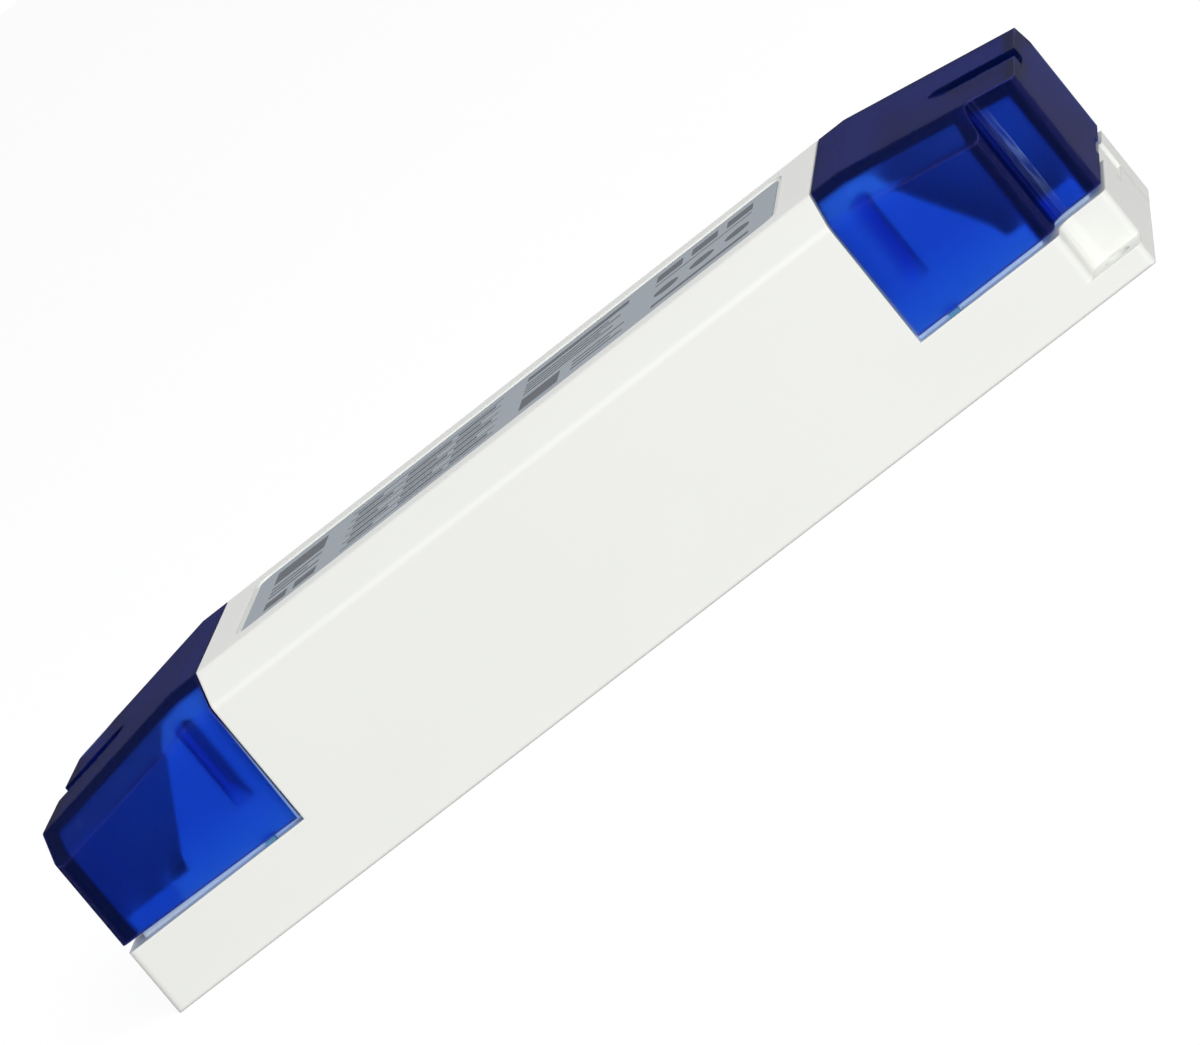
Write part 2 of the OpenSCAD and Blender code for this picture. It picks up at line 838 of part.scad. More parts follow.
module fuse() {
    color([0.12, 0.12, 0.13])
    translate([-bay_x + wall + 0.6 + fr(fuse_d) / 2, fy(fuse_y), top_z])
        can(fr(fuse_d), fz(fuse_h), 0.4);
}

module varistor() {
    color([0.1, 0.3, 0.6])
    translate([-bay_x + wall + 1.3 + fr(varistor_t) / 2, fy(varistor_y), top_z])
        rotate([0, 0, 90])
            disc_part(fr(varistor_d), fr(varistor_t));
}

module x_capacitor() {
    color([0.85, 0.75, 0.25])
    translate([fx(xcap_x), fy(xcap_y), top_z])
        difference() {
            translate([-fx(xcap_w) / 2, -fy(xcap_l) / 2, 0])
                cube([fx(xcap_w), fy(xcap_l), fz(xcap_h)]);
            translate([-xcap_w, 0, -0.4])
                rotate([0, 90, 0])
                    cylinder(d = xcap_l * 0.5, h = 2 * xcap_w);
        }
}

// ring of the interference choke
module choke_ring(r0, r1, z0, z1) {
    translate([fx(ring_x), fy(ring_y), top_z + fz(z0)])
        difference() {
            cylinder(r = fr(r1), h = fz(z1 - z0));
            translate([0, 0, -1]) cylinder(r = fr(r0), h = fz(z1 - z0) + 2);
        }
}

module emi_choke_core() {
    color([0.2, 0.2, 0.22])
    choke_ring(ring_bore, ring_r, wire_t, wire_t + ring_h);
}

// two windings that lie round the ring, left and right of a gap
module emi_choke_winding() {
    color([0.72, 0.38, 0.16])
    difference() {
        choke_ring(ring_bore - wire_t, ring_r + wire_t, 0, ring_h + 2 * wire_t);
        choke_ring(ring_bore, ring_r, wire_t, wire_t + ring_h);
        translate([fx(ring_x) - ring_bore * 0.38, fy(ring_y) - 2 * ring_r, top_z - 1])
            cube([ring_bore * 0.76, 4 * ring_r, fz(ring_h + 2 * wire_t) + 2]);
    }
}

module bridge_rectifier() {
    color([0.13, 0.13, 0.14])
    translate([fx(bridge_x), fy(bridge_y), top_z]) {
        difference() {
            translate([-fx(bridge_l) / 2, -fy(bridge_t) / 2, 2])
                cube([fx(bridge_l), fy(bridge_t), fz(bridge_h)]);
            translate([-fx(bridge_l) / 2 + 1.2, 0, fz(bridge_h) + 2])
                rotate([0, 45, 0])
                    translate([-1.4, -bridge_t, -0.7]) cube([1.4, 2 * bridge_t, 5]);
        }
        for (k = [-1.5 : 1 : 1.5])
            translate([k * fx(bridge_l) * 0.26, 0, 0]) cylinder(d = lead_d, h = 3);
    }
}

module bulk_capacitor() {
    color([0.15, 0.17, 0.3])
    translate([fx(bulk_x), fy(bulk_y), top_z])
        electrolytic(fr(bulk_d), fz(bulk_h));
}

// electrolytic can with its crimp groove and a scored vent
module electrolytic(d, h) {
    difference() {
        rotate_extrude()
            polygon([[0, 0], [d / 2 - 0.6, 0], [d / 2, 0.6], [d / 2, 2], [d / 2 - 0.5, 2.6],
                     [d / 2, 3.2], [d / 2, h - 0.8], [d / 2 - 0.8, h], [0, h]]);
        for (a = [0, 60, 120])
            rotate([0, 0, a])
                translate([-d * 0.32, -0.15, h - 0.3]) cube([d * 0.64, 0.3, 1]);
    }
}

// upright cooling plate with a turned-over top edge and a screw hole
module cooling_plate(x, l, hole) {
    difference() {
        union() {
            translate([x - l / 2, sink_y, top_z]) cube([l, sink_t, fz(sink_h)]);
            translate([x - l / 2, sink_y + sink_t / 2, top_z + fz(sink_h) - sink_t])
                cube([l, sink_lip + sink_t / 2, sink_t]);
        }
        translate([hole, sink_y - sink_t, ear_z])
            rotate([-90, 0, 0])
                cylinder(d = screw_d + 2 * hole_play, h = 3 * sink_t);
    }
}

module primary_heatsink() {
    color([0.75, 0.76, 0.78])
    cooling_plate(sink_one_x, fx(sink_one_l), pack_one_x);
}

module output_heatsink() {
    color([0.75, 0.76, 0.78])
    cooling_plate(sink_two_x, fx(sink_two_l), sink_two_x);
}

// three-lead power package, its tab against a cooling plate
module power_package(x) {
    translate([x, sink_y, 0]) {
        translate([-fx(pack_w) / 2, -pack_t, pack_z]) cube([fx(pack_w), pack_t, fz(pack_h)]);
        difference() {
            translate([-fx(pack_w) / 2, -pack_tab, pack_z + fz(pack_h) - 1])
                cube([fx(pack_w), pack_tab, fz(pack_ear) + 1]);
            translate([0, -2 * pack_t, ear_z])
                rotate([-90, 0, 0])
                    cylinder(d = screw_d + 8 * hole_play, h = 3 * pack_t);
        }
        for (k = [-1, 0, 1])
            translate([k * fx(pack_w) / 4, -pack_t / 2, top_z]) cylinder(d = lead_d, h = pack_z - top_z + 1);
    }
}

module switching_transistor() {
    color([0.12, 0.12, 0.13])
    power_package(pack_one_x);
}

module output_diode() {
    color([0.12, 0.12, 0.13])
    power_package(sink_two_x);
}

// screws that hold the two power packages
module transistor_screws() {
    color([0.7, 0.7, 0.72])
    for (x = [pack_one_x, sink_two_x])
        translate([x, sink_y - pack_tab, ear_z])
            rotate([90, 0, 0])
                pan_screw(screw_head - 0.4, 1.6, screw_d, pack_tab + sink_t + 1, 0.6);
}

// chip body with a turned-down row of leads on each side
module chip(l, rows) {
    difference() {
        translate([-l / 2, -chip_w / 2, 0.5]) cube([l, chip_w, chip_h - 0.5]);
        translate([-l / 2, 0, chip_h - 0.4]) cylinder(d = 2, h = 1);
    }
    for (k = [0 : rows - 1], s = [-1, 1])
        translate([(k - (rows - 1) / 2) * l / (rows + 0.1) - 0.4, s * (chip_w / 2 + 0.25) - 0.35, 0])
            cube([0.8, 0.7, chip_h * 0.55]);
}

module controller_chip() {
    color([0.12, 0.12, 0.13])
    translate([fx(chip_x), fy(chip_y), top_z]) chip(fx(chip_l), 4);
}

module optocoupler() {
    color([0.92, 0.92, 0.9])
    translate([fx(opto_x), fy(opto_y), top_z]) chip(fx(opto_l), 2);
}

// ferrite core with a middle leg and two windows
module transformer_core() {
    color([0.22, 0.22, 0.24])
    translate([core_x, core_y, core_z])
        difference() {
            translate([-fx(core_l) / 2, -core_w / 2, 0]) cube([fx(core_l), core_w, core_top]);
            for (s = [-1, 1])
                translate([s * (core_w + window) / 2 - window / 2, -core_w, leg_w])
                    cube([window, 2 * core_w, core_top - 2 * leg_w]);
        }
}

// square frame round the middle leg of the core
module leg_frame(inner, outer, z0, z1) {
    translate([core_x, core_y, core_z + z0])
        linear_extrude(z1 - z0)
            difference() {
                square(outer, center = true);
                square(inner, center = true);
            }
}

// bobbin: tube, two flanges and two pin rails
module transformer_bobbin() {
    color([0.1, 0.1, 0.11])
    union() {
        leg_frame(core_w + 2 * core_play, core_w + 2 * core_play + 2 * bobbin_t,
                  leg_w + core_play, core_top - leg_w - core_play);
        leg_frame(core_w + 2 * core_play, coil, leg_w + core_play, leg_w + core_play + bobbin_t);
        leg_frame(core_w + 2 * core_play, coil,
                  core_top - leg_w - core_play - bobbin_t, core_top - leg_w - core_play);
        for (s = [-1, 1])
            translate([core_x - coil / 2, core_y + s * (coil / 2 - 1.5) - 1.5, top_z])
                cube([coil, 3, core_z - top_z + leg_w + core_play + bobbin_t / 2]);
    }
}

module transformer_winding() {
    color([0.85, 0.72, 0.2])
    leg_frame(core_w + 2 * core_play + 2 * bobbin_t, coil - 4 * core_play,
              leg_w + core_play + bobbin_t, core_top - leg_w - core_play - bobbin_t);
}

module safety_capacitor() {
    color([0.15, 0.4, 0.75])
    translate([fx(ycap_x), fy(ycap_y), top_z]) disc_part(fr(ycap_d), fr(ycap_t));
}

module output_capacitors() {
    color([0.15, 0.17, 0.3])
    for (y = ocap_y)
        translate([ocap_x, fy(y), top_z]) electrolytic(fr(ocap_d), fz(ocap_h));
}

// drum choke in its sleeve
module output_choke() {
    color([0.16, 0.16, 0.17])
    translate([drum_x, fy(drum_y), top_z])
        let (r = fr(drum_d) / 2, h = fz(drum_h))
            rotate_extrude()
                polygon([[0, 0], [r, 0], [r, 1.6], [r - 0.7, 2.2], [r - 0.7, h - 2.2], [r, h - 1.6],
                         [r, h], [0, h]]);
}

housing();
bottom_plate();
base_screws();
terminal_cover_left();
terminal_cover_right();
rating_label();
circuit_board();
input_terminal();
output_terminal();
terminal_screws();
cable_clamp_left();
cable_clamp_right();
clamp_screws();
fuse();
varistor();
x_capacitor();
emi_choke_core();
emi_choke_winding();
bridge_rectifier();
bulk_capacitor();
primary_heatsink();
switching_transistor();
controller_chip();
transformer_core();
transformer_bobbin();
transformer_winding();
safety_capacitor();
optocoupler();
output_heatsink();
output_diode();
transistor_screws();
output_capacitors();
output_choke();
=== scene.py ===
import math

import bpy
from mathutils import Matrix, Vector


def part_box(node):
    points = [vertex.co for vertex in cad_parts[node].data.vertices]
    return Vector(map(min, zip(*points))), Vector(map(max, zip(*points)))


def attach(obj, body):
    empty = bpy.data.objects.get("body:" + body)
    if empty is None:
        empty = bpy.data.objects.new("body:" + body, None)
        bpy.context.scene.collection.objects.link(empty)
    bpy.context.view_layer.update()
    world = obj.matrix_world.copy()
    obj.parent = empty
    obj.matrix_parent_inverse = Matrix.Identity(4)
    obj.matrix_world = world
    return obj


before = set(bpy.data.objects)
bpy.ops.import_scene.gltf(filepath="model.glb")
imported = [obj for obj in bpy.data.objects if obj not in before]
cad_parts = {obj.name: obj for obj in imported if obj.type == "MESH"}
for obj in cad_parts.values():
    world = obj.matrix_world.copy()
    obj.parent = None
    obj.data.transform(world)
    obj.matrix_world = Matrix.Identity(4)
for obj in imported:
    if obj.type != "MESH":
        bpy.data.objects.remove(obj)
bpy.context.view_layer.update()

# ---------------------------------------------------------------- camera
# A long lens looks at the front long side, a little from the right and above,
# and is rolled so that the driver lies across the picture from low left to high right.
azimuth, elevation, roll = math.radians(10.927), math.radians(8.289), math.radians(-39.37)
eye = Vector((0.15998, -0.83211, 0.13609))
back = Vector((math.sin(azimuth) * math.cos(elevation), -math.cos(azimuth) * math.cos(elevation),
               math.sin(elevation)))
unrolled_right = Vector((math.cos(azimuth), math.sin(azimuth), 0))
unrolled_up = back.cross(unrolled_right)
right = unrolled_right * math.cos(roll) + unrolled_up * math.sin(roll)
up = unrolled_up * math.cos(roll) - unrolled_right * math.sin(roll)
camera_data = bpy.data.cameras.new("camera")
camera_data.lens, camera_data.sensor_width, camera_data.sensor_fit = 210, 36, "HORIZONTAL"
camera_data.clip_start, camera_data.clip_end = 0.02, 30
camera = bpy.data.objects.new("camera", camera_data)
camera.matrix_world = Matrix((right, up, back)).transposed().to_4x4()
camera.matrix_world.translation = eye
bpy.context.scene.collection.objects.link(camera)
bpy.context.scene.camera = camera
bpy.context.scene.view_settings.view_transform = "Standard"


# ---------------------------------------------------------------- studio
# A white sweep: pale floor, soft even light from all round and one large soft box
# in front on the right. What the camera, gloss and clear plastic see of it is plain white.
def linear(code):
    """sRGB hex colour as the linear RGBA that a shader socket takes."""
    parts = [int(code[i:i + 2], 16) / 255 for i in (0, 2, 4)]
    return [c / 12.92 if c <= 0.04045 else ((c + 0.055) / 1.055) ** 2.4 for c in parts] + [1]


def add_node(tree, kind, settings, links):
    """One shader node with its properties and socket values set and its inputs linked."""
    node = tree.nodes.new(kind)
    for key, value in settings.items():
        if isinstance(key, int) or key in node.inputs:
            node.inputs[key].default_value = value
        else:
            setattr(node, key, value)
    for key, source in links.items():
        tree.links.new(source, node.inputs[key])
    return node


def new_material(name):
    """An empty material and its node tree."""
    material = bpy.data.materials.new(name)
    material.use_nodes = True
    material.node_tree.nodes.clear()
    return material, material.node_tree


def seen(tree):
    """1 for rays from the camera, from gloss and through clear plastic, 0 for lighting."""
    path = add_node(tree, "ShaderNodeLightPath", {}, {})
    either = add_node(tree, "ShaderNodeMath", {"operation": "MAXIMUM"},
                      {0: path.outputs["Is Camera Ray"], 1: path.outputs["Is Glossy Ray"]})
    return add_node(tree, "ShaderNodeMath", {"operation": "MAXIMUM"},
                    {0: either.outputs[0], 1: path.outputs["Is Transmission Ray"]}).outputs[0]


world = bpy.data.worlds.new("studio")
bpy.context.scene.world = world
world.use_nodes = True
tree = world.node_tree
tree.nodes.clear()
soft_fill = add_node(tree, "ShaderNodeBackground", {"Color": linear("FBFCFF"), "Strength": 0.415},
                     {})
white_wall = add_node(tree, "ShaderNodeBackground", {"Color": linear("FFFFFF"), "Strength": 1.0},
                      {})
sky = add_node(tree, "ShaderNodeMixShader", {},
               {0: seen(tree), 1: soft_fill.outputs[0], 2: white_wall.outputs[0]})
add_node(tree, "ShaderNodeOutputWorld", {}, {"Surface": sky.outputs[0]})

floor_half, floor_z = 3.0, -5e-5
floor_mesh = bpy.data.meshes.new("floor")
floor_mesh.from_pydata([(floor_half * x, floor_half * y, floor_z)
                        for x, y in ((-1, -1), (1, -1), (1, 1), (-1, 1))], [], [(0, 1, 2, 3)])
floor = bpy.data.objects.new("floor", floor_mesh)
bpy.context.scene.collection.objects.link(floor)
# Matt paper on a light table: it lights the driver evenly from below, and is white to the eye
# with the shadow left in.
paper, tree = new_material("white_paper")
paper_skin = add_node(tree, "ShaderNodeBsdfDiffuse", {"Color": linear("6E6E6E")}, {})
lift = add_node(tree, "ShaderNodeEmission", {"Color": linear("FFFFFF"), "Strength": 0.235}, {})
lit = add_node(tree, "ShaderNodeAddShader", {}, {0: paper_skin.outputs[0], 1: lift.outputs[0]})
glow = add_node(tree, "ShaderNodeEmission", {"Color": linear("FFFFFF"), "Strength": 0.9}, {})
view = add_node(tree, "ShaderNodeAddShader", {}, {0: paper_skin.outputs[0], 1: glow.outputs[0]})
both = add_node(tree, "ShaderNodeMixShader", {},
                {0: seen(tree), 1: lit.outputs[0], 2: view.outputs[0]})
add_node(tree, "ShaderNodeOutputMaterial", {}, {"Surface": both.outputs[0]})
floor_mesh.materials.append(paper)

key_data = bpy.data.lights.new("soft_box", "AREA")
key_data.shape, key_data.size, key_data.energy = "SQUARE", 1.3, 36
key = bpy.data.objects.new("soft_box", key_data)
key.location = (0.80, -1.72, 0.87)
key.rotation_euler = (Vector((0, 0, 0.015)) - key.location).to_track_quat("-Z", "Y").to_euler()
bpy.context.scene.collection.objects.link(key)


# ---------------------------------------------------------------- bottom plate
# The floor of the driver: a flat moulding in white ABS with board posts and cable
# saddles, pressed up into the housing and held by four screws.
def per_mm(size):
    """Scale of a pattern whose features are that many millimetres across."""
    return 1000 / size


def dress(material, *names):
    """Puts a material on CAD nodes."""
    for name in names:
        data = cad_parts[name].data
        data.materials.clear()
        data.materials.append(material)


# ABS from a spark-eroded mould: dull white with a fine even grain, which is really about
# 0.1 mm and is drawn at 0.6 mm so that it shows
plate_abs, tree = new_material("abs_white_dull")
place = add_node(tree, "ShaderNodeTexCoord", {}, {})
grain = add_node(tree, "ShaderNodeTexNoise", {"Scale": per_mm(0.6), "Detail": 2},
                 {"Vector": place.outputs["Object"]})
cloud = add_node(tree, "ShaderNodeTexNoise", {"Scale": per_mm(18), "Detail": 2},
                 {"Vector": place.outputs["Object"]})
tone = add_node(tree, "ShaderNodeMix",
                {"data_type": "RGBA", 6: linear("DFE0DC"), 7: linear("E6E7E3")},
                {0: cloud.outputs[0]})
relief = add_node(tree, "ShaderNodeBump", {"Strength": 0.12, "Distance": 0.00004},
                  {"Height": grain.outputs[0]})
matt = add_node(tree, "ShaderNodeMapRange", {"To Min": 0.5, "To Max": 0.62}, {0: grain.outputs[0]})
skin = add_node(tree, "ShaderNodeBsdfPrincipled",
                {"IOR": 1.53},
                {"Base Color": tone.outputs[2], "Roughness": matt.outputs[0],
                 "Normal": relief.outputs[0]})
add_node(tree, "ShaderNodeOutputMaterial", {}, {"Surface": skin.outputs[0]})
dress(plate_abs, "bottom_plate")

# ---------------------------------------------------------------- screws
# Small steel screws, cold headed and zinc plated: the countersunk ones of the base,
# the slotted ones of the clamps and cooling plates, and the grub screws of the terminals.
# zinc plate: bright grey metal, blue passivated, with fine drawing marks, drawn at 0.5 mm so
# that they show
zinc, tree = new_material("steel_zinc_plated")
place = add_node(tree, "ShaderNodeTexCoord", {}, {})
marks = add_node(tree, "ShaderNodeTexNoise", {"Scale": per_mm(0.5), "Detail": 4},
                 {"Vector": place.outputs["Object"]})
tint = add_node(tree, "ShaderNodeMix",
                {"data_type": "RGBA", 6: linear("A9ADB2"), 7: linear("C6C7C4")},
                {0: marks.outputs[0]})
dull = add_node(tree, "ShaderNodeMapRange", {"To Min": 0.24, "To Max": 0.42}, {0: marks.outputs[0]})
skin = add_node(tree, "ShaderNodeBsdfPrincipled", {"Metallic": 1.0},
                {"Base Color": tint.outputs[2], "Roughness": dull.outputs[0]})
add_node(tree, "ShaderNodeOutputMaterial", {}, {"Surface": skin.outputs[0]})
dress(zinc, "base_screws", "clamp_screws", "transistor_screws", "terminal_screws")

# ---------------------------------------------------------------- circuit board
# Glass-fibre laminate, etched on both sides and coated with green solder resist,
# cut out round the bosses and laid on the posts of the bottom plate.
# solder resist over copper: green gloss, paler and raised where a track runs under it
laminate, tree = new_material("fr4_green_resist")
place = add_node(tree, "ShaderNodeTexCoord", {}, {})
tracks = add_node(tree, "ShaderNodeTexVoronoi", {"Scale": per_mm(6), "distance": "CHEBYCHEV",
                                                 "feature": "F1", "Randomness": 0.8},
                  {"Vector": place.outputs["Object"]})
edge = add_node(tree, "ShaderNodeMath", {"operation": "GREATER_THAN", 1: 0.42},
                {0: tracks.outputs[0]})
green = add_node(tree, "ShaderNodeMix",
                 {"data_type": "RGBA", 6: linear("1E6B3A"), 7: linear("124A28")},
                 {0: edge.outputs[0]})
relief = add_node(tree, "ShaderNodeBump", {"Strength": 0.3, "Distance": 0.00004, "invert": True},
                  {"Height": edge.outputs[0]})
skin = add_node(tree, "ShaderNodeBsdfPrincipled", {"Roughness": 0.3, "IOR": 1.5},
                {"Base Color": green.outputs[2], "Normal": relief.outputs[0]})
add_node(tree, "ShaderNodeOutputMaterial", {}, {"Surface": skin.outputs[0]})
dress(laminate, "circuit_board")

# ---------------------------------------------------------------- terminals
# Two-pole screw terminals, moulded in grey polyamide round brass clamps and
# soldered to the board inside each bay.
# dry polyamide: slightly waxy grey with a faint flow pattern
polyamide, tree = new_material("polyamide_grey")
place = add_node(tree, "ShaderNodeTexCoord", {}, {})
flow = add_node(tree, "ShaderNodeTexNoise", {"Scale": per_mm(2.5), "Detail": 3, "Distortion": 1.2},
                {"Vector": place.outputs["Object"]})
grey = add_node(tree, "ShaderNodeMix",
                {"data_type": "RGBA", 6: linear("2E3338"), 7: linear("3A4046")},
                {0: flow.outputs[0]})
waxy = add_node(tree, "ShaderNodeMapRange", {"To Min": 0.36, "To Max": 0.48}, {0: flow.outputs[0]})
skin = add_node(tree, "ShaderNodeBsdfPrincipled", {"IOR": 1.53},
                {"Base Color": grey.outputs[2], "Roughness": waxy.outputs[0]})
add_node(tree, "ShaderNodeOutputMaterial", {}, {"Surface": skin.outputs[0]})
dress(polyamide, "input_terminal", "output_terminal")

# ---------------------------------------------------------------- mains parts
# Fuse, varistor, filter capacitor and interference choke: the parts that the
# mains passes first, soldered side by side at the input end.
# black thermoplastic: fuse cup, bobbin, chips and power packages, dull with a fine grain,
# drawn at 0.4 mm so that it shows
compound, tree = new_material("moulding_compound_black")
place = add_node(tree, "ShaderNodeTexCoord", {}, {})
grit = add_node(tree, "ShaderNodeTexNoise", {"Scale": per_mm(0.4), "Detail": 3},
                {"Vector": place.outputs["Object"]})
soot = add_node(tree, "ShaderNodeMix",
                {"data_type": "RGBA", 6: linear("1E1F21"), 7: linear("2B2C2F")},
                {0: grit.outputs[0]})
relief = add_node(tree, "ShaderNodeBump", {"Strength": 0.2, "Distance": 0.00003},
                  {"Height": grit.outputs[0]})
skin = add_node(tree, "ShaderNodeBsdfPrincipled", {"Roughness": 0.55, "IOR": 1.55},
                {"Base Color": soot.outputs[2], "Normal": relief.outputs[0]})
add_node(tree, "ShaderNodeOutputMaterial", {}, {"Surface": skin.outputs[0]})
dress(compound, "fuse", "bridge_rectifier", "switching_transistor", "output_diode",
      "controller_chip", "transformer_bobbin", "output_choke")

# dipped epoxy: blue lacquer that has run a little before it set
lacquer, tree = new_material("epoxy_dip_blue")
place = add_node(tree, "ShaderNodeTexCoord", {}, {})
runs = add_node(tree, "ShaderNodeTexNoise", {"Scale": per_mm(3), "Detail": 2},
                {"Vector": place.outputs["Object"]})
blue = add_node(tree, "ShaderNodeMix",
                {"data_type": "RGBA", 6: linear("1B4E96"), 7: linear("2A66B4")},
                {0: runs.outputs[0]})
relief = add_node(tree, "ShaderNodeBump", {"Strength": 0.3, "Distance": 0.0002},
                  {"Height": runs.outputs[0]})
skin = add_node(tree, "ShaderNodeBsdfPrincipled", {"Roughness": 0.25, "IOR": 1.55},
                {"Base Color": blue.outputs[2], "Normal": relief.outputs[0]})
add_node(tree, "ShaderNodeOutputMaterial", {}, {"Surface": skin.outputs[0]})
dress(lacquer, "varistor", "safety_capacitor")

# polyester: yellow box of the filter capacitor and yellow tape on the transformer,
# with the edges of the tape's turns about 4 mm apart
polyester, tree = new_material("polyester_yellow")
place = add_node(tree, "ShaderNodeTexCoord", {}, {})
turns = add_node(tree, "ShaderNodeTexWave", {"Scale": per_mm(4) / math.tau, "bands_direction": "Z",
                                             "Distortion": 0.4, "Detail": 1},
                 {"Vector": place.outputs["Object"]})
amber = add_node(tree, "ShaderNodeMix",
                 {"data_type": "RGBA", 6: linear("C9A52E"), 7: linear("E0C352")},
                 {0: turns.outputs[0]})
skin = add_node(tree, "ShaderNodeBsdfPrincipled", {"Roughness": 0.35, "IOR": 1.57},
                {"Base Color": amber.outputs[2]})
add_node(tree, "ShaderNodeOutputMaterial", {}, {"Surface": skin.outputs[0]})
dress(polyester, "x_capacitor", "transformer_winding")

# sintered ferrite: dark grey ceramic, dry, with tiny pits, drawn at 0.5 mm so that they show
ferrite, tree = new_material("ferrite_sintered")
place = add_node(tree, "ShaderNodeTexCoord", {}, {})
pits = add_node(tree, "ShaderNodeTexNoise", {"Scale": per_mm(0.5), "Detail": 5},
                {"Vector": place.outputs["Object"]})
iron = add_node(tree, "ShaderNodeMix",
                {"data_type": "RGBA", 6: linear("34353A"), 7: linear("4A4B50")},
                {0: pits.outputs[0]})
relief = add_node(tree, "ShaderNodeBump", {"Strength": 0.35, "Distance": 0.00005},
                  {"Height": pits.outputs[0]})
skin = add_node(tree, "ShaderNodeBsdfPrincipled", {"Roughness": 0.6, "IOR": 1.9},
                {"Base Color": iron.outputs[2], "Normal": relief.outputs[0]})
add_node(tree, "ShaderNodeOutputMaterial", {}, {"Surface": skin.outputs[0]})
dress(ferrite, "emi_choke_core", "transformer_core")

# enamelled copper: red-brown gloss, ridged where the turns of 0.6 mm wire lie side by side
enamel, tree = new_material("copper_enamelled")
place = add_node(tree, "ShaderNodeTexCoord", {}, {})
strands = add_node(tree, "ShaderNodeTexWave",
                   {"Scale": per_mm(0.6) / math.tau, "bands_direction": "X"},
                   {"Vector": place.outputs["Object"]})
copper = add_node(tree, "ShaderNodeMix",
                  {"data_type": "RGBA", 6: linear("6E3416"), 7: linear("C77238")},
                  {0: strands.outputs[0]})
relief = add_node(tree, "ShaderNodeBump", {"Strength": 0.6, "Distance": 0.0002},
                  {"Height": strands.outputs[0]})
skin = add_node(tree, "ShaderNodeBsdfPrincipled", {"Roughness": 0.28, "Metallic": 0.6},
                {"Base Color": copper.outputs[2], "Normal": relief.outputs[0]})
add_node(tree, "ShaderNodeOutputMaterial", {}, {"Surface": skin.outputs[0]})
dress(enamel, "emi_choke_winding")

# ---------------------------------------------------------------- capacitors
# Aluminium electrolytic cans in a shrunk plastic sleeve, scored on top to vent,
# and a paler stripe down the sleeve for the negative lead.
# shrink sleeve: dark blue gloss, bare aluminium inside the rim on top
sleeve, tree = new_material("pet_sleeve_blue")
place = add_node(tree, "ShaderNodeTexCoord", {}, {})
facing = add_node(tree, "ShaderNodeNewGeometry", {}, {})
lean = add_node(tree, "ShaderNodeSeparateXYZ", {}, {0: facing.outputs["Normal"]})
top = add_node(tree, "ShaderNodeMath", {"operation": "GREATER_THAN", 1: 0.9}, {0: lean.outputs[2]})
stripe = add_node(tree, "ShaderNodeMath", {"operation": "GREATER_THAN", 1: 0.86},
                  {0: lean.outputs[1]})
ripple = add_node(tree, "ShaderNodeTexNoise", {"Scale": per_mm(4)},
                  {"Vector": place.outputs["Object"]})
film = add_node(tree, "ShaderNodeMix",
                {"data_type": "RGBA", 6: linear("1A2146"), 7: linear("252D58")},
                {0: ripple.outputs[0]})
marked = add_node(tree, "ShaderNodeMix", {"data_type": "RGBA", 7: linear("B9BEC8")},
                  {0: stripe.outputs[0], 6: film.outputs[2]})
capped = add_node(tree, "ShaderNodeMix", {"data_type": "RGBA", 7: linear("C9CBCD")},
                  {0: top.outputs[0], 6: marked.outputs[2]})
skin = add_node(tree, "ShaderNodeBsdfPrincipled", {"Roughness": 0.28, "IOR": 1.57},
                {"Base Color": capped.outputs[2], "Metallic": top.outputs[0]})
add_node(tree, "ShaderNodeOutputMaterial", {}, {"Surface": skin.outputs[0]})
dress(sleeve, "bulk_capacitor", "output_capacitors")

# ---------------------------------------------------------------- cooling plates
# Strips of rolled aluminium, bent over at the top and screwed to the tabs of the
# switching transistor and the output diode.
# rolled aluminium: grey metal with fine lines along the rolling direction, drawn 0.5 mm apart
# so that they show
rolled, tree = new_material("aluminium_rolled")
place = add_node(tree, "ShaderNodeTexCoord", {}, {})
drawn = add_node(tree, "ShaderNodeMapping", {"Scale": (0.05, 1, 1)},
                 {"Vector": place.outputs["Object"]})
lines = add_node(tree, "ShaderNodeTexNoise", {"Scale": per_mm(0.5), "Detail": 4},
                 {"Vector": drawn.outputs[0]})
metal = add_node(tree, "ShaderNodeMix",
                 {"data_type": "RGBA", 6: linear("B4B7BA"), 7: linear("CFD1D3")},
                 {0: lines.outputs[0]})
satin = add_node(tree, "ShaderNodeMapRange", {"To Min": 0.28, "To Max": 0.44},
                 {0: lines.outputs[0]})
skin = add_node(tree, "ShaderNodeBsdfPrincipled", {"Metallic": 1.0},
                {"Base Color": metal.outputs[2], "Roughness": satin.outputs[0]})
add_node(tree, "ShaderNodeOutputMaterial", {}, {"Surface": skin.outputs[0]})
dress(rolled, "primary_heatsink", "output_heatsink")

# ---------------------------------------------------------------- optocoupler
# The small white package that carries the feedback across the mains barrier.
# white epoxy: chalky, with a fine grain, drawn at 0.5 mm so that it shows
chalk, tree = new_material("epoxy_white")
place = add_node(tree, "ShaderNodeTexCoord", {}, {})
dust = add_node(tree, "ShaderNodeTexNoise", {"Scale": per_mm(0.5)},
                {"Vector": place.outputs["Object"]})
pale = add_node(tree, "ShaderNodeMix",
                {"data_type": "RGBA", 6: linear("DCDCD6"), 7: linear("EBEBE6")},
                {0: dust.outputs[0]})
skin = add_node(tree, "ShaderNodeBsdfPrincipled", {"Roughness": 0.5, "IOR": 1.55},
                {"Base Color": pale.outputs[2]})
add_node(tree, "ShaderNodeOutputMaterial", {}, {"Surface": skin.outputs[0]})
dress(chalk, "optocoupler")

